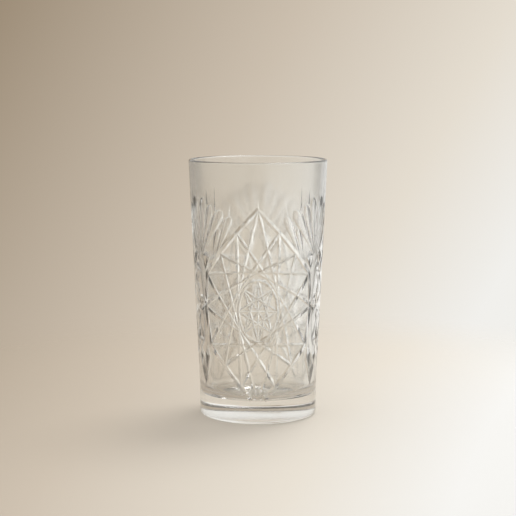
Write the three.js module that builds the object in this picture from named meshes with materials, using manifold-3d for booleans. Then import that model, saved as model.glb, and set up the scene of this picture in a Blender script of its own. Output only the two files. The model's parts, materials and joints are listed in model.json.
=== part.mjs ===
// A tall tumbler of clear pressed glass, in millimetres, +Z up, standing on the plane z = 0.
// One conical cup with a thick base, a plain foot and a plain drinking rim. Between them three cut panels
// stand round the wall. Each is a six-cornered frame round a sixteen-pointed star of crossing mitre cuts,
// with a small eight-pointed star on the button at its middle. Fans of petals fill the gaps above, and two
// kites, a lens and two daggers stand below one another where two panels meet.
import * as THREE from "three";
import { mergeVertices } from "three/addons/utils/BufferGeometryUtils.js";
import Module from "manifold-3d";

const radians = THREE.MathUtils.degToRad;

// The cup
const HEIGHT = 160;
const RIM_DIAMETER = 86;
const FOOT_DIAMETER = 73;
const FOOT_HEIGHT = 15.5;
const HEEL_RADIUS = 2.5;
const LIP_THICKNESS = 2.2;
const WALL_AT_FLOOR = 5.2;
const FLOOR_THICKNESS = 13.5;
const BORE_FILLET = 10;
const HOLLOW_DIAMETER = 50;
const HOLLOW_DEPTH = 1.5;
const FOOT_LINE_DEPTH = 0.5;
const FACETS = 48;

// The panels: how far the top corner lies under the rim, how much of the bottom corner the foot cuts off,
// and how far the sides hang below a level line at a quarter turn
const PANELS = 3;
const PLAIN_BAND = 28.3;
const LOST_CORNER = 4.5;
const PANEL_DROOP = 6;

// Corners of half a panel from the top down: share of the half panel's angle, share of its height
const TOP_SHARES = [0, 1];
const SHOULDER_SHARES = [0.845, 0.687];
const WAIST_SHARES = [0.91, 0.524];
const HIP_SHARES = [0.812, 0.321];
const TOE_SHARES = [0, 0];
const UPPER_EDGE_POINT_SHARES = [0.36, 0.68];
const LOWER_EDGE_POINT_SHARES = [0.325, 0.66];
const STAR_SPAN_POINTS = 6;

// Mitre cuts
const STAR_DEPTH = 0.7;
const STAR_WIDTH = 2.4;
const FRAME_DEPTH = 0.7;
const FRAME_WIDTH = 3;
const CREASE_DEPTH = 0.5;
const CREASE_WIDTH = 1.2;
const APEX_CREASE_LENGTH = 6.8;

// The button at the middle of a star
const BUTTON_WIDTH = 24;
const BUTTON_HEIGHT = 37.5;
const BUTTON_LEVEL_SHARE = 0.492;
const BUTTON_DEPTH = 0.8;
const BUTTON_GROOVE = 2.4;
const BUTTON_STAR_POINTS = 8;
const BUTTON_STAR_SPAN_POINTS = 3;
const BUTTON_STAR_DEPTH = 0.6;
const BUTTON_STAR_WIDTH = 1.8;

// Petals on each side of a fan, from the middle out: angle in degrees from the fan's middle line and drop
// under the rim, of the round tip and of the pointed root. The last is a small one under the others.
const PETALS = [
  { tipDegrees: 7.5, tipDrop: 21.6, rootDegrees: 0.8, rootDrop: 56.5, width: 6.6 },
  { tipDegrees: 16.9, tipDrop: 25.9, rootDegrees: 1.2, rootDrop: 57.5, width: 5.8 },
  { tipDegrees: 28.5, tipDrop: 28.7, rootDegrees: 1.5, rootDrop: 58.5, width: 7.4 },
  { tipDegrees: 36.6, tipDrop: 32.2, rootDegrees: 21.5, rootDrop: 56, width: 5.4 },
  { tipDegrees: 24.5, tipDrop: 39.4, rootDegrees: 17.6, rootDrop: 55.8, width: 4.6 },
];
const PETAL_DEPTH = 1.3;
const PETAL_BELLY_SHARE = 0.3;
const PETAL_SECTION_SHARES = [0, 0.05, 0.14, PETAL_BELLY_SHARE, 0.65, 1];
const PETAL_FALL_POWER = 1.5;

// Fine creases that rise from between the tips: angle and drop of the deep lower end, then the length
const CREASES = [
  { footDegrees: 35.1, topDegrees: 36.6, footDrop: 31.8, length: 8 },
  { footDegrees: 21.6, topDegrees: 21.6, footDrop: 29.5, length: 15 },
  { footDegrees: 12.6, topDegrees: 12.4, footDrop: 25.5, length: 9 },
];

// Cuts with pointed ends where two panels meet, a kite and a dagger on each side of a lens: angle of both
// ends from the middle line, drop of the top end, and how far down the length they are widest
const KITE = {
  topDegrees: 9.6,
  bottomDegrees: 6.6,
  topDrop: 54.1,
  length: 12,
  bellyShare: 0.325,
  width: 7.5,
  depth: 2.2,
};
const LENS = {
  topDegrees: 0,
  bottomDegrees: 0,
  topDrop: 81.4,
  length: 13.5,
  bellyShare: 0.5,
  width: 6.1,
  depth: 1.2,
};
const DAGGER = {
  topDegrees: 7,
  bottomDegrees: 0.2,
  topDrop: 113.1,
  length: 25.6,
  bellyShare: 0.316,
  width: 7.8,
  depth: 1.4,
};

// How far a cutter stands out of the wall, and what counts as flat when faces are joined
const CLEAR = 0.3;
const FLAT_ANGLE = radians(1);
const SLIVER_AREA = 1e-5;

const GLASS = new THREE.MeshStandardMaterial({ color: 0xf4f3ef, roughness: 0.05, metalness: 0 });

const wasm = await Module();
wasm.setup();

const mix = THREE.MathUtils.lerp;
const halfPanel = Math.PI / PANELS;
const wallTop = HEIGHT - LIP_THICKNESS / 2;
const panelTop = HEIGHT - PLAIN_BAND;
const panelBottom = FOOT_HEIGHT - LOST_CORNER;

// Outer radius of the plain wall at a height.
function wallRadius(z) {
  return mix(FOOT_DIAMETER / 2, RIM_DIAMETER / 2, (z - FOOT_HEIGHT) / (wallTop - FOOT_HEIGHT));
}

// A point that lies a distance outside the wall, at an angle from the front.
function onWall(angle, z, outside) {
  const radius = wallRadius(z) + outside;
  return new THREE.Vector3(radius * Math.sin(angle), -radius * Math.cos(angle), z);
}

// A closed geometry as a solid that can be cut.
function solidOf(geometry) {
  geometry.deleteAttribute("normal");
  geometry.deleteAttribute("uv");
  const merged = mergeVertices(geometry, 1e-4);
  const mesh = new wasm.Mesh({
    numProp: 3,
    vertProperties: merged.attributes.position.array,
    triVerts: new Uint32Array(merged.index.array),
  });
  return new wasm.Manifold(mesh);
}

// The cup as one revolved profile: hollow underside, foot, wall, round lip, bore and floor.
function cup() {
  const footRadius = FOOT_DIAMETER / 2;
  const lipRadius = LIP_THICKNESS / 2;
  const boreFoot = wallRadius(FLOOR_THICKNESS) - WALL_AT_FLOOR;
  const profile = new THREE.Path();
  profile.moveTo(0, HOLLOW_DEPTH);
  profile.quadraticCurveTo(HOLLOW_DIAMETER / 4, HOLLOW_DEPTH, HOLLOW_DIAMETER / 2, 0);
  profile.lineTo(footRadius - HEEL_RADIUS, 0);
  profile.absarc(footRadius - HEEL_RADIUS, HEEL_RADIUS, HEEL_RADIUS, -Math.PI / 2, 0);
  profile.lineTo(footRadius, FOOT_HEIGHT - FOOT_LINE_DEPTH);
  profile.lineTo(footRadius - FOOT_LINE_DEPTH, FOOT_HEIGHT);
  profile.lineTo(wallRadius(FOOT_HEIGHT + FOOT_LINE_DEPTH), FOOT_HEIGHT + FOOT_LINE_DEPTH);
  profile.lineTo(RIM_DIAMETER / 2, wallTop);
  profile.absarc(RIM_DIAMETER / 2 - lipRadius, wallTop, lipRadius, 0, Math.PI);
  profile.lineTo(boreFoot, FLOOR_THICKNESS + BORE_FILLET);
  profile.quadraticCurveTo(boreFoot, FLOOR_THICKNESS, boreFoot - BORE_FILLET, FLOOR_THICKNESS);
  profile.lineTo(0, FLOOR_THICKNESS);
  const lathe = new THREE.LatheGeometry(profile.getPoints(4), FACETS);
  return solidOf(lathe.rotateX(Math.PI / 2));
}

// A closed tube through sections that have equally many points. A ring has no end caps.
function loft(sections, ring) {
  const count = sections[0].length;
  const spans = ring ? sections.length : sections.length - 1;
  const index = [];
  for (let i = 0; i < spans; i++) {
    const next = (i + 1) % sections.length;
    for (let j = 0; j < count; j++) {
      const a = i * count + j;
      const b = i * count + ((j + 1) % count);
      const c = next * count + ((j + 1) % count);
      const d = next * count + j;
      index.push(a, c, b, a, d, c);
    }
  }
  const last = (sections.length - 1) * count;
  for (let j = 1; j < count - 1 && !ring; j++) {
    index.push(0, j, j + 1);
    index.push(last, last + j + 1, last + j);
  }
  const geometry = new THREE.BufferGeometry().setFromPoints(sections.flat());
  return geometry.setIndex(index);
}

// Direction on the unrolled wall from one place [angle, z] to another, as [along, up], and its length.
function heading(from, to) {
  const along = (to[0] - from[0]) * wallRadius((from[1] + to[1]) / 2);
  const up = to[1] - from[1];
  const length = Math.hypot(along, up);
  return { along: along / length, up: up / length, length };
}

// The place at a share of the way between two places.
function between(from, to, share) {
  return [mix(from[0], to[0], share), mix(from[1], to[1], share)];
}

// The shares of a straight stretch at which it crosses the edges between the wall's facets, leaving room
// near both ends.
function facetCrossings(from, to, room) {
  const facet = (2 * Math.PI) / FACETS;
  const { along, up, length } = heading(from, to);
  const margin = (room * Math.abs(up / along)) / length;
  const [low, high] = [from[0], to[0]].sort((a, b) => a - b);
  const count = Math.max(0, Math.ceil(high / facet) - Math.ceil(low / facet));
  const edges = Array.from({ length: count }, (_, k) => (Math.ceil(low / facet) + k) * facet);
  const shares = edges.map((edge) => (edge - from[0]) / (to[0] - from[0]));
  return shares.sort((a, b) => a - b).filter((share) => share > margin && share < 1 - margin);
}

// The sideways direction of a cut at each place of its line. A corner's section halves the turn. A section
// on an edge between two facets stands upright on that edge, so that the cut bends with the wall.
function sidesOf(line, onEdge, ring) {
  const count = line.length;
  return line.map((place, i) => {
    const before = ring || i > 0 ? heading(line[(i + count - 1) % count], place) : heading(place, line[1]);
    const after = ring || i < count - 1 ? heading(place, line[(i + 1) % count]) : before;
    const along = before.along + after.along;
    const up = before.up + after.up;
    const size = (along * along + up * up) / 2;
    return onEdge[i] ? [0, -2 / along] : [up / size, -along / size];
  });
}

// A V-shaped cutter along a line of places on the wall, with a depth at each place. The slope is its half
// width over its depth, and its crown clears the bulge of the wall between its edges.
function mitreCut(line, depths, slope, { onEdge = [], ring = false } = {}) {
  const sides = sidesOf(line, onEdge, ring);
  const widest = (Math.max(...depths) + CLEAR) * slope;
  const sections = line.map(([angle, z], i) => {
    const reach = (depths[i] + CLEAR) * slope;
    const edge = (shift) => {
      const up = z + sides[i][1] * shift;
      return onWall(angle + (sides[i][0] * shift) / wallRadius(up), up, CLEAR);
    };
    const crown = CLEAR + (widest * widest) / wallRadius(z);
    return [onWall(angle, z, -depths[i]), edge(reach), onWall(angle, z, crown), edge(-reach)];
  });
  return loft(sections, ring);
}

// A place of a panel on the wall: the panel is drawn level, and its sides droop as it wraps round.
function drooped([angle, z]) {
  return [angle, z - PANEL_DROOP * (1 - Math.cos(angle))];
}

// A mitre cut of even depth along straight stretches of a level panel.
function panelCut(corners, depth, width) {
  const slope = width / 2 / depth;
  const room = (depth + CLEAR) * slope;
  const line = [];
  const onEdge = [];
  corners.forEach((corner, i) => {
    const next = corners[i + 1];
    const shares = next ? facetCrossings(corner, next, room) : [];
    line.push(corner, ...shares.map((share) => between(corner, next, share)));
    onEdge.push(false, ...shares.map(() => true));
  });
  return mitreCut(line.map(drooped), line.map(() => depth), slope, { onEdge });
}

// A stretch of a level panel with the end that lies under the foot line cut off.
function aboveFoot(from, to) {
  const clip = (low, high) => {
    const level = FOOT_HEIGHT + PANEL_DROOP * (1 - Math.cos(low[0]));
    return low[1] < level ? between(low, high, (level - low[1]) / (high[1] - low[1])) : low;
  };
  return [clip(from, to), clip(to, from)];
}

// The corners of the right half of a level panel, from the top down.
function panelCorners() {
  const place = ([across, up]) => [across * halfPanel, mix(panelBottom, panelTop, up)];
  return [TOP_SHARES, SHOULDER_SHARES, WAIST_SHARES, HIP_SHARES, TOE_SHARES].map(place);
}

// The star's sixteen points, clockwise from the top.
function starPoints() {
  const [top, shoulder, waist, hip, toe] = panelCorners();
  const right = [
    ...UPPER_EDGE_POINT_SHARES.map((share) => between(top, shoulder, share)),
    shoulder,
    waist,
    hip,
    ...LOWER_EDGE_POINT_SHARES.map((share) => between(hip, toe, share)),
  ];
  const left = right.map(([angle, z]) => [-angle, z]).reverse();
  return [top, ...right, toe, ...left];
}

// Cuts from each point of a star to the point that lies a number of points further round.
function starCuts(points, span, depth, width) {
  const far = (i) => points[(i + span) % points.length];
  return points.map((from, i) => panelCut(aboveFoot(from, far(i)), depth, width));
}

// The frame round a star. It is open at the bottom, where it runs into the foot line.
function frameCut() {
  const corners = panelCorners();
  const [toe, hip] = aboveFoot(corners.pop(), corners.pop());
  const right = [...corners, hip, toe];
  const left = right.slice(1).map(([angle, z]) => [-angle, z]);
  return panelCut([...left.reverse(), ...right], FRAME_DEPTH, FRAME_WIDTH);
}

// Places spaced evenly by angle on the oval round the button, from its top.
function buttonPlaces(count) {
  const level = mix(panelBottom, panelTop, BUTTON_LEVEL_SHARE);
  const halfAngle = BUTTON_WIDTH / 2 / wallRadius(level);
  return Array.from({ length: count }, (_, i) => {
    const turn = (2 * Math.PI * i) / count;
    return [halfAngle * Math.sin(turn), level + (BUTTON_HEIGHT / 2) * Math.cos(turn)];
  });
}

// The oval groove round the button, and the small star on it.
function buttonCuts() {
  const oval = buttonPlaces(2 * BUTTON_STAR_POINTS);
  const groove = mitreCut(
    oval,
    oval.map(() => BUTTON_DEPTH),
    BUTTON_GROOVE / 2 / BUTTON_DEPTH,
    { ring: true },
  );
  const points = buttonPlaces(BUTTON_STAR_POINTS);
  return [groove, ...starCuts(points, BUTTON_STAR_SPAN_POINTS, BUTTON_STAR_DEPTH, BUTTON_STAR_WIDTH)];
}

// A petal: a leaf-shaped cut with a round tip and a pointed root.
function petalCut(tip, root, width) {
  const line = PETAL_SECTION_SHARES.map((share) => between(tip, root, share));
  const depths = PETAL_SECTION_SHARES.map((share) => {
    const rise = Math.sqrt(1 - Math.max(0, 1 - share / PETAL_BELLY_SHARE) ** 2);
    const past = Math.max(0, (share - PETAL_BELLY_SHARE) / (1 - PETAL_BELLY_SHARE));
    return PETAL_DEPTH * rise * (1 - past ** PETAL_FALL_POWER);
  });
  return mitreCut(line, depths, width / 2 / PETAL_DEPTH);
}

// A fine cut that starts at its full depth and runs out.
function creaseCut(foot, top) {
  return mitreCut([foot, top], [CREASE_DEPTH, 0], CREASE_WIDTH / 2 / CREASE_DEPTH);
}

// A cut with pointed ends, widest and deepest at its belly.
function pointedCut(top, bottom, { bellyShare, width, depth }) {
  const line = [top, between(top, bottom, bellyShare), bottom];
  return mitreCut(line, [0, depth, 0], width / 2 / depth);
}

// The cuts on one side of the line where two panels meet: half a fan with its creases, a kite and a dagger.
function sideCuts(side) {
  const place = (degrees, drop) => [halfPanel + side * radians(degrees), HEIGHT - drop];
  const petals = PETALS.map(({ tipDegrees, tipDrop, rootDegrees, rootDrop, width }) =>
    petalCut(place(tipDegrees, tipDrop), place(rootDegrees, rootDrop), width),
  );
  const creases = CREASES.map(({ footDegrees, topDegrees, footDrop, length }) =>
    creaseCut(place(footDegrees, footDrop), place(topDegrees, footDrop - length)),
  );
  const pointed = [KITE, DAGGER].map((cut) =>
    pointedCut(place(cut.topDegrees, cut.topDrop), place(cut.bottomDegrees, cut.topDrop + cut.length), cut),
  );
  return [...petals, ...creases, ...pointed];
}

// The cuts between two panels.
function fanCuts() {
  const top = [halfPanel + radians(LENS.topDegrees), HEIGHT - LENS.topDrop];
  const bottom = [halfPanel + radians(LENS.bottomDegrees), HEIGHT - LENS.topDrop - LENS.length];
  return [...sideCuts(-1), ...sideCuts(1), pointedCut(top, bottom, LENS)];
}

// The cuts of one panel that faces the front.
function panelCuts() {
  const star = starCuts(starPoints(), STAR_SPAN_POINTS, STAR_DEPTH, STAR_WIDTH);
  const crease = creaseCut([0, panelTop], [0, panelTop + APEX_CREASE_LENGTH]);
  return [...star, frameCut(), crease, ...buttonCuts()];
}

// Draws each vertex that lies inside a flat face or along a straight edge onto a neighbour, so that the
// cuts leave no slivers. A face may turn by FLAT_ANGLE at most.
function withoutSlivers(points, faces) {
  const around = points.map(() => new Set());
  faces.forEach((face, i) => face.forEach((corner) => around[corner].add(i)));
  const triangle = new THREE.Triangle();
  const areaNormal = (corners) => {
    triangle.set(...corners.map((corner) => points[corner]));
    return { area: triangle.getArea(), normal: triangle.getNormal(new THREE.Vector3()) };
  };
  const neighbours = (corner) => new Set([...around[corner]].flatMap((i) => faces[i]));
  const mayJoin = (from, to) => {
    const common = [...neighbours(from)].filter((corner) => neighbours(to).has(corner));
    const moved = [...around[from]].filter((i) => !faces[i].includes(to));
    return (
      common.length === 4 &&
      moved.every((i) => {
        const before = areaNormal(faces[i]);
        const after = areaNormal(faces[i].map((corner) => (corner === from ? to : corner)));
        const flat = before.normal.dot(after.normal) > Math.cos(FLAT_ANGLE);
        const wide = after.area > SLIVER_AREA;
        return before.area < SLIVER_AREA ? !wide || flat : wide && flat;
      })
    );
  };
  const join = (from, to) => {
    for (const i of around[from]) {
      if (faces[i].includes(to)) {
        faces[i].forEach((corner) => corner !== from && around[corner].delete(i));
        faces[i] = null;
      } else {
        faces[i] = faces[i].map((corner) => (corner === from ? to : corner));
        around[to].add(i);
      }
    }
    around[from].clear();
  };
  for (let joined = 1; joined > 0; ) {
    joined = 0;
    for (let from = 0; from < points.length; from++) {
      const others = [...neighbours(from)].filter((corner) => corner !== from);
      others.sort((a, b) => points[from].distanceTo(points[a]) - points[from].distanceTo(points[b]));
      const to = others.find((corner) => mayJoin(from, corner));
      if (to !== undefined) {
        join(from, to);
        joined++;
      }
    }
  }
  return faces.filter((face) => face);
}

// The cup with the cuts of every panel and fan.
function tumbler() {
  let glass = cup();
  for (let i = 0; i < PANELS; i++) {
    for (const cut of [...panelCuts(), ...fanCuts()]) {
      glass = glass.subtract(solidOf(cut.rotateZ(2 * i * halfPanel)));
    }
  }
  const { vertProperties, triVerts } = glass.getMesh();
  const position = new THREE.BufferAttribute(vertProperties, 3);
  const pointAt = (_, i) => new THREE.Vector3().fromBufferAttribute(position, i);
  const faceAt = (_, i) => [...triVerts.subarray(3 * i, 3 * i + 3)];
  const points = Array.from({ length: position.count }, pointAt);
  const faces = Array.from({ length: triVerts.length / 3 }, faceAt);
  const geometry = new THREE.BufferGeometry().setFromPoints(points);
  geometry.setIndex(withoutSlivers(points, faces).flat());
  const mesh = new THREE.Mesh(geometry, GLASS);
  mesh.name = "tumbler";
  return mesh;
}

const part = new THREE.Group();
part.add(tumbler());
export default part;
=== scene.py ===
import json

import bpy
import numpy as np
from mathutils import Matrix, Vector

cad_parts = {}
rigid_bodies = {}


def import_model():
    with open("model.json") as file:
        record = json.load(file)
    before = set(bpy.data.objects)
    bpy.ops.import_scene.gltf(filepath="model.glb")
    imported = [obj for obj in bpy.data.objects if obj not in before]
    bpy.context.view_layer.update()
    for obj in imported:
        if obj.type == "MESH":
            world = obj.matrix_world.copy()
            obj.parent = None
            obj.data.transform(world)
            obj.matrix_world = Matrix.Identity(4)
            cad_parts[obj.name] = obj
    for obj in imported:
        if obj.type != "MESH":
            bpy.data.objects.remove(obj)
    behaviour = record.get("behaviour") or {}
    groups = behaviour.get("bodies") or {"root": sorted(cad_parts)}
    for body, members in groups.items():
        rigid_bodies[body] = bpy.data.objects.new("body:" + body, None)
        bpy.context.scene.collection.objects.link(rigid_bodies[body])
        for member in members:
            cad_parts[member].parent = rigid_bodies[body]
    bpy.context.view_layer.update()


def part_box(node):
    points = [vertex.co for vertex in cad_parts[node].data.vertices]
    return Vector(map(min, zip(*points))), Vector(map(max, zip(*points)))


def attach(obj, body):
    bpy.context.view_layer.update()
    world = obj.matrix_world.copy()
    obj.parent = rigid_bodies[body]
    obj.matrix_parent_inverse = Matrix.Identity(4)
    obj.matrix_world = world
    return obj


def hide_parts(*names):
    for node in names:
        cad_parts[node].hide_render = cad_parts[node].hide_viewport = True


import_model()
scene = bpy.context.scene

# The cup
# One gather of clear glass, pressed in a mould: a thick base on a hollowed foot, a wall that widens and
# thins towards the mouth, and a lip that is melted round by the fire polish.
_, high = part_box("tumbler")
height = high.z
rim_radius = high.x
foot_radius = 0.0365
foot_height = 0.0155
heel_radius = 0.0025
lip_radius = 0.0011
wall_at_floor = 0.0052
floor_thickness = 0.0135
bore_fillet = 0.010
hollow_radius = 0.025
hollow_depth = 0.0015
foot_line_depth = 0.0005
wall_top = height - lip_radius
segments = 240
curve_steps, heel_steps, lip_steps = 16, 10, 20
crease_angle = np.radians(22)


def wall_radius(z):
    """Outer radius of the plain wall at a height: a straight line from the foot to the lip."""
    share = (z - foot_height) / (wall_top - foot_height)
    return foot_radius + share * (rim_radius - foot_radius)


def arc(centre, radius, start, stop, steps):
    """Points of a circle's arc from one angle to another, in degrees: centre + radius (cos, sin)."""
    turn = np.radians(np.linspace(start, stop, steps + 1))
    return np.array(centre) + radius * np.stack([np.cos(turn), np.sin(turn)], 1)


def sweep(first, control, last, steps):
    """A parabola between two points, pulled to a third: (1-t)^2 first + 2t(1-t) control + t^2 last."""
    t = np.linspace(0, 1, steps + 1)[:, None]
    return (1 - t) ** 2 * np.array(first) + 2 * t * (1 - t) * np.array(control) + t**2 * np.array(last)


def strips(rows, columns, closed):
    """Corner numbers of a grid's quads. Its columns close on themselves, and its rows too if closed."""
    row = np.arange(rows if closed else rows - 1)[:, None]
    column = np.arange(columns)[None, :]
    ahead = (row + 1) % rows
    beside = (column + 1) % columns
    corners = [(row, column), (ahead, column), (ahead, beside), (row, beside)]
    numbers = [along * columns + across for along, across in corners]
    return np.stack(numbers, -1).reshape(-1, 4)


def smooth_solid(name, points, faces, facing_side):
    """A closed mesh object that keeps its smooth normals, turned by facing_side, in a corner attribute."""
    mesh = bpy.data.meshes.new(name)
    mesh.from_pydata(points.reshape(-1, 3).tolist(), [], faces)
    mesh.shade_smooth()
    mesh.set_sharp_from_angle(angle=crease_angle)
    normals = np.empty(3 * len(mesh.loops), np.float32)
    mesh.corner_normals.foreach_get("vector", normals)
    facing = mesh.attributes.new("facing", "FLOAT_VECTOR", "CORNER")
    facing.data.foreach_set("vector", facing_side * normals)
    return bpy.data.objects.new(name, mesh)


def revolved(name, profile):
    """A profile of (radius, height) that starts and ends on the axis, turned once round it."""
    turn = np.linspace(0, 2 * np.pi, segments, endpoint=False)
    ring = profile[1:-1]
    rings = np.stack([
        np.outer(ring[:, 0], np.cos(turn)),
        np.outer(ring[:, 0], np.sin(turn)),
        np.repeat(ring[:, 1:], segments, 1),
    ], -1)
    poles = np.array([[0, 0, profile[0, 1]], [0, 0, profile[-1, 1]]])
    points = np.vstack([rings.reshape(-1, 3), poles])
    here = np.arange(segments)
    beside = (here + 1) % segments
    under, over = len(points) - 2, len(points) - 1
    top = (len(ring) - 1) * segments
    wall = strips(len(ring), segments, False)[:, ::-1]
    first_cap = np.stack([np.full(segments, under), beside, here], 1)
    last_cap = np.stack([np.full(segments, over), top + here, top + beside], 1)
    return smooth_solid(name, points, wall.tolist() + first_cap.tolist() + last_cap.tolist(), 1)


bore_radius = wall_radius(floor_thickness) - wall_at_floor
cup = revolved("tumbler_of_glass", np.vstack([
    sweep((0, hollow_depth), (hollow_radius / 2, hollow_depth), (hollow_radius, 0), curve_steps),
    arc((foot_radius - heel_radius, heel_radius), heel_radius, -90, 0, heel_steps),
    [(foot_radius, foot_height - foot_line_depth)],
    [(foot_radius - foot_line_depth, foot_height)],
    [(wall_radius(foot_height + foot_line_depth), foot_height + foot_line_depth)],
    arc((rim_radius - lip_radius, wall_top), lip_radius, 0, 180, lip_steps),
    sweep(
        (bore_radius, floor_thickness + bore_fillet),
        (bore_radius, floor_thickness),
        (bore_radius - bore_fillet, floor_thickness),
        curve_steps,
    ),
    [(0, floor_thickness)],
]))
scene.collection.objects.link(cup)

# The cuts
# The mould's relief leaves V-shaped grooves and shallow petals in the wall. Three panels stand round the
# glass, each turned by a third, with fans of petals and upright cuts on the lines where two panels meet.
panels = 3
half_panel = np.pi / panels
cut_spacing = 0.0025
cutter_clearance = 0.0003
mitre_points, round_points = 3, 13
cutters = bpy.data.collections.new("cutters")


def on_wall(angle, z, outside):
    """A point that lies a distance outside the wall, at an angle from the front: (R sin, -R cos, z)."""
    radius = wall_radius(z) + outside
    return np.stack([radius * np.sin(angle), -radius * np.cos(angle), z], -1)


def cut(line, depth, width, share=1, power=1, ring=False):
    """Three cutters, one for each panel, along a line of places (angle, height) on the wall.

    A section's floor lies at depth * share * (1 - |s|^power) under the wall, with s from -1 at one edge to
    1 at the other, so power 1 is a mitre. A crown above the wall closes it. At a corner it halves the turn.
    """
    ahead = np.roll(line, -1, 0) - line
    ahead[:, 0] *= wall_radius(line[:, 1])
    if not ring:
        ahead[-1] = ahead[-2]
    ahead /= np.linalg.norm(ahead, axis=1, keepdims=True)
    behind = np.roll(ahead, 1, 0)
    if not ring:
        behind[0] = ahead[0]
    turn = ahead + behind
    side = 2 * np.stack([turn[:, 1], -turn[:, 0]], 1) / np.sum(turn**2, 1, keepdims=True)
    s = np.sin(np.linspace(-np.pi / 2, np.pi / 2, mitre_points if power == 1 else round_points))
    share = np.broadcast_to(share, len(line))
    reach = width / 2 * share ** (1 - 1 / power) * (share + cutter_clearance / depth) ** (1 / power)
    shift = reach[:, None] * s
    z = line[:, 1:] + side[:, 1:] * shift
    angle = line[:, :1] + side[:, :1] * shift / wall_radius(z)
    fall = depth * share + cutter_clearance
    outside = cutter_clearance - fall[:, None] * (1 - np.abs(s) ** power)
    crown = cutter_clearance + reach.max() ** 2 / wall_radius(line[:, 1:])
    z = np.hstack([z, line[:, 1:]])
    angle = np.hstack([angle, line[:, :1]])
    outside = np.hstack([outside, crown])
    rows, columns = z.shape
    faces = strips(rows, columns, ring).tolist()
    if not ring:
        faces += [list(range(columns)), list(range(rows * columns - 1, (rows - 1) * columns - 1, -1))]
    for i in range(panels):
        points = on_wall(angle + 2 * i * half_panel, z, outside)
        cutters.objects.link(smooth_solid("cutter", points, faces, -1))


def stretch(start, stop):
    """Places at an even spacing on a straight line between two places."""
    start, stop = np.array(start), np.array(stop)
    length = np.hypot((stop - start)[0] * rim_radius, (stop - start)[1])
    share = np.linspace(0, 1, int(np.ceil(length / cut_spacing)) + 1)[:, None]
    return start + share * (stop - start)


# The star panel
# A six-cornered frame stands on its lowest corner, which the foot line cuts off. Sixteen mitre cuts cross
# inside it from point to point, and the frame's sides droop as they wrap round the cone.
panel_drop, panel_sink = 0.0283, 0.0045
panel_top = height - panel_drop
panel_bottom = foot_height - panel_sink
panel_droop = 0.006
corner_shares = np.array([[0, 1], [0.845, 0.687], [0.91, 0.524], [0.812, 0.321], [0, 0]])
upper_edge_points = (0.36, 0.68)
lower_edge_points = (0.325, 0.66)
star_span = 6
star_depth, star_width = 0.0007, 0.0024
frame_depth, frame_width = 0.0007, 0.003
crease_depth, crease_width = 0.0005, 0.0012
apex_crease = 0.0068
fading = np.array([1, 0])


def drooped(line):
    """The places of a level panel lowered by droop * (1 - cos angle)."""
    return line - np.stack([np.zeros(len(line)), panel_droop * (1 - np.cos(line[:, 0]))], 1)


def above_foot(from_place, to_place):
    """A straight line of a level panel, as its two ends, with what lies under the foot line cut off."""
    ends = np.array([from_place, to_place])
    over_foot_line = ends[:, 1] - foot_height - panel_droop * (1 - np.cos(ends[:, 0]))
    climb = ends[::-1, 1] - ends[:, 1]
    share = np.divide(-over_foot_line, climb, out=np.zeros(2), where=over_foot_line < 0)
    return ends + share[:, None] * (ends[::-1] - ends)


corners = corner_shares * (half_panel, panel_top - panel_bottom) + (0, panel_bottom)
upper = [corners[0] + share * (corners[1] - corners[0]) for share in upper_edge_points]
lower = [corners[3] + share * (corners[4] - corners[3]) for share in lower_edge_points]
right = np.array([*upper, *corners[1:4], *lower])
left = right[::-1] * (-1, 1)
star = np.vstack([corners[:1], right, corners[4:], left])
for start, stop in zip(star, np.roll(star, -star_span, 0)):
    cut(drooped(stretch(*above_foot(start, stop))), star_depth, star_width)

toe = above_foot(corners[4], corners[3])[0]
outline = np.vstack([corners[:4], toe])
outline = np.vstack([outline[:0:-1] * (-1, 1), outline])
sides = [stretch(start, stop)[:-1] for start, stop in zip(outline, outline[1:])]
cut(drooped(np.vstack([*sides, outline[-1:]])), frame_depth, frame_width)
cut(np.array([[0, panel_top], [0, panel_top + apex_crease]]), crease_depth, crease_width, fading)

# The button
# An oval groove marks off the middle of each star. A small star of eight points fills it, and four finer
# rays run through its middle from point to point.
button_width, button_height = 0.024, 0.0375
button_share = 0.492
button_level = panel_bottom + button_share * (panel_top - panel_bottom)
button_depth, button_groove = 0.001, 0.0024
button_points, button_span = 8, 3
button_star_depth, button_star_width = 0.0008, 0.0018
ray_depth, ray_width = 0.0006, 0.0014
oval_steps = 64


def oval(count):
    """Places spaced evenly by angle on the button's oval, from its top."""
    turn = np.linspace(0, 2 * np.pi, count, endpoint=False)
    across = button_width / 2 / wall_radius(button_level)
    return np.stack([across * np.sin(turn), button_level + button_height / 2 * np.cos(turn)], 1)


cut(oval(oval_steps), button_depth, button_groove, ring=True)
button_star = oval(button_points)
for start, stop in zip(button_star, np.roll(button_star, -button_span, 0)):
    cut(drooped(stretch(start, stop)), button_star_depth, button_star_width)
opposite = button_points // 2
for start, stop in zip(button_star[:opposite], button_star[opposite:]):
    cut(drooped(stretch(start, stop)), ray_depth, ray_width)

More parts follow.
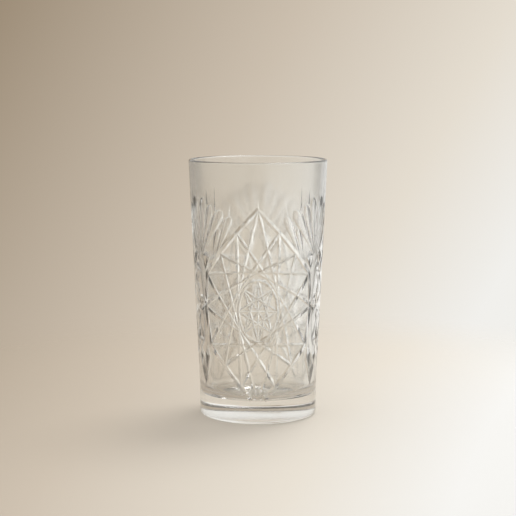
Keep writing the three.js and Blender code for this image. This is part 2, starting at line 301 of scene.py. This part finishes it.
# The fans and the kites
# Ten flat-floored petals spread upwards between two panels, five to a side, each with a round tip and a
# pointed root, and fine creases rise from where they meet. A kite on each shoulder, a lens and two daggers
# fill the rest.
petals = (
    {"tip": (7.5, 0.0216), "root": (0.8, 0.0565), "width": 0.0066},
    {"tip": (16.9, 0.0259), "root": (1.2, 0.0575), "width": 0.0058},
    {"tip": (28.5, 0.0287), "root": (1.5, 0.0585), "width": 0.0074},
    {"tip": (36.6, 0.0322), "root": (21.5, 0.056), "width": 0.0054},
    {"tip": (24.5, 0.0394), "root": (17.6, 0.0558), "width": 0.0046},
)
creases = (
    {"foot": (35.1, 0.0318), "top": (36.6, 0.0238)},
    {"foot": (21.6, 0.0295), "top": (21.6, 0.0145)},
    {"foot": (12.6, 0.0255), "top": (12.4, 0.0165)},
)
petal_depth = 0.0013
petal_power = 4
petal_belly = 0.18
petal_fall = 1.5
petal_least = 0.02
petal_steps = 24
kite = {"top": (9.6, 0.0541), "belly": (8.7, 0.058), "toe": (6.6, 0.0661)}
kite_depth, kite_width = 0.0022, 0.0075
lens = {"top": (0, 0.0814), "belly": (0, 0.0881), "toe": (0, 0.0949)}
lens_depth, lens_width = 0.0012, 0.0061
dagger = {"top": (7.0, 0.1131), "belly": (4.9, 0.1212), "toe": (0.2, 0.1387)}
dagger_depth, dagger_width = 0.0014, 0.0078
pointed = np.array([0, 1, 0])


def petal_share(t):
    """Depth of a petal along its length, as a share: a quarter ellipse to the belly, then 1 - past^fall."""
    before = np.maximum(0, 1 - t / petal_belly)
    past = np.maximum(0, (t - petal_belly) / (1 - petal_belly))
    return np.maximum(petal_least, np.sqrt(1 - before**2) * (1 - past**petal_fall))


def in_fan(side, places):
    """Places on the wall from (degrees from the fan's middle, drop under the rim), on one of two sides."""
    angle, drop = np.array(places, float).T
    return np.stack([half_panel + side * np.radians(angle), height - drop], 1)


along = 0.5 - 0.5 * np.cos(np.linspace(0, np.pi, petal_steps + 1))
for side in (-1, 1):
    for petal in petals:
        tip, root = in_fan(side, (petal["tip"], petal["root"]))
        line = tip + along[:, None] * (root - tip)
        cut(line, petal_depth, petal["width"], petal_share(along), petal_power)
    for crease in creases:
        cut(in_fan(side, tuple(crease.values())), crease_depth, crease_width, fading)
    cut(in_fan(side, tuple(kite.values())), kite_depth, kite_width, pointed)
    cut(in_fan(side, tuple(dagger.values())), dagger_depth, dagger_width, pointed)
cut(in_fan(1, tuple(lens.values())), lens_depth, lens_width, pointed)

# The fire polish
# The mould presses every cut at once. A flame then melts the skin smooth and leaves clear glass with a
# faint warm tint, slow waves down the wall, and a bore and a drinking band a little duller than the cuts.
tint_deep, tint_faint = (0.935, 0.932, 0.915, 1), (0.955, 0.952, 0.935, 1)
refraction = 1.52
wave_scale, wave_detail, wave_stretch = 90.0, 1.0, (1, 1, 0.12)
wave_strength, wave_depth = 0.25, 0.0002
haze_scale, haze_detail = 45.0, 3.0
skin_dullness, haze_dullness = 0.02, 0.04
bore_dullness, upper_bore_dullness, band_dullness = 0.12, 0.07, 0.09
bore_skin = (0.0006, 0.0003)
upper_bore = (panel_top - 0.012, panel_top + 0.004)
drinking_band = (panel_top + 0.005, panel_top + 0.012)

cutting = cup.modifiers.new("cutting", "BOOLEAN")
cutting.operand_type = "COLLECTION"
cutting.collection = cutters
cutting.solver = "MANIFOLD"
cut_glass = bpy.data.meshes.new_from_object(cup.evaluated_get(bpy.context.evaluated_depsgraph_get()))
cup.modifiers.clear()
cup.data = cut_glass
for cutter in list(cutters.objects):
    bpy.data.objects.remove(cutter)
bpy.data.collections.remove(cutters)
facing = np.empty(3 * len(cut_glass.loops), np.float32)
cut_glass.attributes["facing"].data.foreach_get("vector", facing)
facing = facing.reshape(-1, 3)
facing /= np.linalg.norm(facing, axis=1, keepdims=True)
cut_glass.attributes.remove(cut_glass.attributes["facing"])
cut_glass.shade_smooth()
cut_glass.normals_split_custom_set(facing)


class Finish:
    """A socket in a node tree. Arithmetic on it adds Math nodes, and make adds any other node."""

    def __init__(self, tree, socket=None):
        self.tree = tree
        self.socket = socket

    def make(self, kind, settings=None, sockets=None, output=0):
        """Adds a node, sets it up, fills or links its inputs, and gives one of its outputs.

        A ramp's stops are a setting too: colours by their place, from 0 to 1.
        """
        node = self.tree.nodes.new(kind)
        for name, value in (settings or {}).items():
            if name == "stops":
                for position in list(value)[1:-1]:
                    node.color_ramp.elements.new(position)
                for element, colour in zip(node.color_ramp.elements, value.values()):
                    element.color = colour
            else:
                setattr(node, name, value)
        for name, value in (sockets or {}).items():
            if isinstance(value, Finish):
                self.tree.links.new(value.socket, node.inputs[name])
            else:
                node.inputs[name].default_value = value
        return Finish(self.tree, node.outputs[output] if node.outputs else None)

    def math(self, operation, *values):
        """Adds a Math node on sockets or numbers."""
        return self.make("ShaderNodeMath", {"operation": operation}, dict(enumerate(values)))

    def axes(self, names):
        """Splits a vector into those of its axes that are named."""
        return [self.make("ShaderNodeSeparateXYZ", {}, {"Vector": self}, name) for name in names]

    def rise(self, start, stop, top=1.0):
        """A smooth step on this socket's value: 0 up to start, top from stop on."""
        return self.make("ShaderNodeMapRange", {"interpolation_type": "SMOOTHSTEP"}, {
            "Value": self,
            "From Min": start,
            "From Max": stop,
            "To Max": top,
        })

    def __add__(self, other):
        return self.math("ADD", self, other)

    def __sub__(self, other):
        return self.math("SUBTRACT", self, other)

    def __rsub__(self, other):
        return self.math("SUBTRACT", other, self)

    def __mul__(self, other):
        return self.math("MULTIPLY", self, other)

    __radd__ = __add__
    __rmul__ = __mul__


glass = bpy.data.materials.new("clear_glass")
glass.use_nodes = True
glass.node_tree.nodes.clear()
finish = Finish(glass.node_tree)
place = finish.make("ShaderNodeTexCoord", output="Object")
x, y, z = place.axes("XYZ")
drawn = finish.make("ShaderNodeMapping", {"vector_type": "POINT"}, {"Vector": place, "Scale": wave_stretch})
waves = finish.make("ShaderNodeTexNoise", {}, {
    "Vector": drawn,
    "Scale": wave_scale,
    "Detail": wave_detail,
}, "Fac")
waviness = finish.make("ShaderNodeBump", {}, {
    "Strength": wave_strength,
    "Distance": wave_depth,
    "Height": waves,
})
haze = finish.make("ShaderNodeTexNoise", {}, {
    "Vector": place,
    "Scale": haze_scale,
    "Detail": haze_detail,
}, "Fac")
tint = finish.make("ShaderNodeMix", {"data_type": "RGBA"}, {"Factor": haze, 6: tint_deep, 7: tint_faint}, 2)
bore_slope = (rim_radius - 2 * lip_radius - bore_radius) / (wall_top - floor_thickness - bore_fillet)
bore_line = bore_radius + (z - (floor_thickness + bore_fillet)) * bore_slope
bore = (finish.math("SQRT", x * x + y * y) - bore_line).rise(*bore_skin)
dull_bore = bore * (bore_dullness + z.rise(*upper_bore) * upper_bore_dullness)
dull_band = (1 - bore) * z.rise(*drinking_band) * band_dullness
surface = finish.make("ShaderNodeBsdfPrincipled", {}, {
    "Base Color": tint,
    "Roughness": skin_dullness + haze * haze_dullness + dull_bore + dull_band,
    "Normal": waviness,
    "IOR": refraction,
    "Transmission Weight": 1.0,
})
finish.make("ShaderNodeOutputMaterial", {}, {"Surface": surface})
cut_glass.materials.clear()
cut_glass.materials.append(glass)
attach(cup, "root")
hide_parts("tumbler")

# The floor
# A pale sweep of card that runs out of sight before it ends. Its tone is painted light and shade: warmer
# and darker at the left, lighter at the right where the light comes from, and darker towards the back,
# where the lamp's light is stronger. A share of its tone takes no shadow, in place of the light that the
# glass bends onto it.
floor_reach = 0.95
floor_sides = 96
floor_fade = (0.2, 0.4)
# Painted light and shade of the card: its middle tone, its fall towards the back and its rise to the right.
floor_level, painted_shade_towards_back = 0.695, 0.38
painted_light_towards_right, painted_light_right_back_fall = 2.0, 1.7
shadowless, shadowless_through_glass = 0.33, 0.45
ray_kinds = ("Camera", "Glossy", "Transmission")
sweep_colours = {
    0.0: (0.30, 0.23, 0.155, 1),
    0.5: (0.60, 0.52, 0.425, 1),
    0.8: (0.78, 0.722, 0.632, 1),
    1.0: (0.88, 0.87, 0.84, 1),
}

turn = np.linspace(0, 2 * np.pi, floor_sides, endpoint=False)
floor_mesh = bpy.data.meshes.new("floor")
floor_rim = floor_reach * np.stack([np.cos(turn), np.sin(turn), 0 * turn], 1)
floor_mesh.from_pydata(floor_rim.tolist(), [], [list(range(floor_sides))])
floor = bpy.data.objects.new("floor", floor_mesh)
scene.collection.objects.link(floor)

card = bpy.data.materials.new("card")
card.use_nodes = True
card.node_tree.nodes.clear()
finish = Finish(card.node_tree)
place = finish.make("ShaderNodeTexCoord", output="Object")
x, y = place.axes("XY")
# Painted light and shade: the tone rises to the right, the side the light comes from, and falls to the left
# and towards the back, where it evens out the lamp's stronger light.
level = floor_level - painted_shade_towards_back * y + x * (painted_light_towards_right - painted_light_right_back_fall * y)
tone = finish.make("ShaderNodeValToRGB", {"stops": sweep_colours}, {"Fac": level})
shaded = finish.make("ShaderNodeBsdfDiffuse", {}, {"Color": tone})
unshaded = finish.make("ShaderNodeEmission", {}, {"Color": tone, "Strength": 1.0})
camera_ray, glossy_ray, transmission_ray = (
    finish.make("ShaderNodeLightPath", output=f"Is {kind} Ray") for kind in ray_kinds
)
through_glass = finish.math("MAXIMUM", glossy_ray, transmission_ray)
unshaded_share = camera_ray * shadowless + through_glass * shadowless_through_glass
lit = finish.make("ShaderNodeMixShader", {}, {"Fac": unshaded_share, 1: shaded, 2: unshaded})
from_middle = finish.make("ShaderNodeVectorMath", {"operation": "LENGTH"}, {"Vector": place}, "Value")
nothing = finish.make("ShaderNodeBsdfTransparent")
surface = finish.make("ShaderNodeMixShader", {}, {"Fac": from_middle.rise(*floor_fade), 1: lit, 2: nothing})
finish.make("ShaderNodeOutputMaterial", {}, {"Surface": surface})
floor_mesh.materials.append(card)

# The light
# One wide soft lamp hangs high behind on the right, in a room of the sweep's own tone. A white card, a pale
# card, dark flags, a bright overhead and a dark ceiling stand out of the frame and shade the cuts' sides.
room_light = 0.7
room_level, room_right_rise, room_up_fall, room_top = 0.49, 2.1, 1.18, 0.15
left_card_edge, left_card_foot, left_card_gain = (-0.22, -0.36), (-0.27, -0.12), 0.6
overhead_edge, overhead_gain = (0.11, 0.17), 1.1
right_card_edge, card_white = (0.22, 0.34), (1.25, 1.24, 1.21, 1)
right_flag_edge, left_flag_edge, flag_front = (0.74, 0.8), (-0.8, -0.86), (0.2, 0.35)
side_top, ceiling_edge, flag_dark = (0.12, 0.04), (0.45, 0.58), (0.22, 0.205, 0.185, 1)
lamp_size, lamp_power, lamp_place = 1.5, 41, (0.8, 1.0, 2.6)

world = bpy.data.worlds.new("room")
world.use_nodes = True
world.node_tree.nodes.clear()
scene.world = world
finish = Finish(world.node_tree)
x, y, z = finish.make("ShaderNodeTexCoord", output="Generated").axes("XYZ")
camera_ray, glossy_ray, transmission_ray = (
    finish.make("ShaderNodeLightPath", output=f"Is {kind} Ray") for kind in ray_kinds
)
through_glass = finish.math("MAXIMUM", glossy_ray, transmission_ray)
scatterings = finish.make("ShaderNodeLightPath", output="Diffuse Depth")
unscattered = 1 - finish.math("MINIMUM", scatterings, 1.0)
backdrop = (
    room_level
    + room_right_rise * finish.math("MAXIMUM", x, left_card_edge[0])
    - room_up_fall * finish.math("MINIMUM", z, room_top)
)
left_card = x.rise(*left_card_edge, left_card_gain) * z.rise(*left_card_foot)
level = backdrop + left_card + z.rise(*overhead_edge, overhead_gain)
tone = finish.make("ShaderNodeValToRGB", {"stops": sweep_colours}, {"Fac": level})
low = z.rise(*side_top)
right_card = x.rise(*right_card_edge) * low
flags = (x.rise(*right_flag_edge) + x.rise(*left_flag_edge)) * low * y.rise(*flag_front)
carded = finish.make("ShaderNodeMix", {"data_type": "RGBA"}, {
    "Factor": right_card * (1 - camera_ray),
    6: tone,
    7: card_white,
}, 2)
flagged = finish.make("ShaderNodeMix", {"data_type": "RGBA"}, {
    "Factor": (flags + z.rise(*ceiling_edge)) * (1 - camera_ray),
    6: carded,
    7: flag_dark,
}, 2)
even = finish.make("ShaderNodeBackground", {}, {"Color": (1, 1, 1, 1), "Strength": room_light})
seen = finish.make("ShaderNodeBackground", {}, {"Color": flagged, "Strength": 1.0})
looked_at = finish.math("MAXIMUM", camera_ray, through_glass) * unscattered
surface = finish.make("ShaderNodeMixShader", {}, {"Fac": looked_at, 1: even, 2: seen})
finish.make("ShaderNodeOutputWorld", {}, {"Surface": surface})

lamp_data = bpy.data.lights.new("soft_lamp", "AREA")
lamp_data.shape = "DISK"
lamp_data.size = lamp_size
lamp_data.energy = lamp_power
lamp = bpy.data.objects.new("soft_lamp", lamp_data)
lamp.location = lamp_place
lamp.rotation_euler = lamp.location.to_track_quat("Z", "Y").to_euler()
scene.collection.objects.link(lamp)

# The camera
# It stands a little above the rim, close on a metre in front, and looks down on the glass with a long lens.
camera_place = (0, -0.895, 0.2116)
camera_tilt = np.radians(7.23)
lens_length, sensor_width = 100.67, 36

camera_data = bpy.data.cameras.new("camera")
camera_data.sensor_width = sensor_width
camera_data.lens = lens_length
camera = bpy.data.objects.new("camera", camera_data)
camera.location = camera_place
camera.rotation_euler = (np.pi / 2 - camera_tilt, 0, 0)
scene.collection.objects.link(camera)
scene.camera = camera
scene.view_settings.view_transform = "Standard"
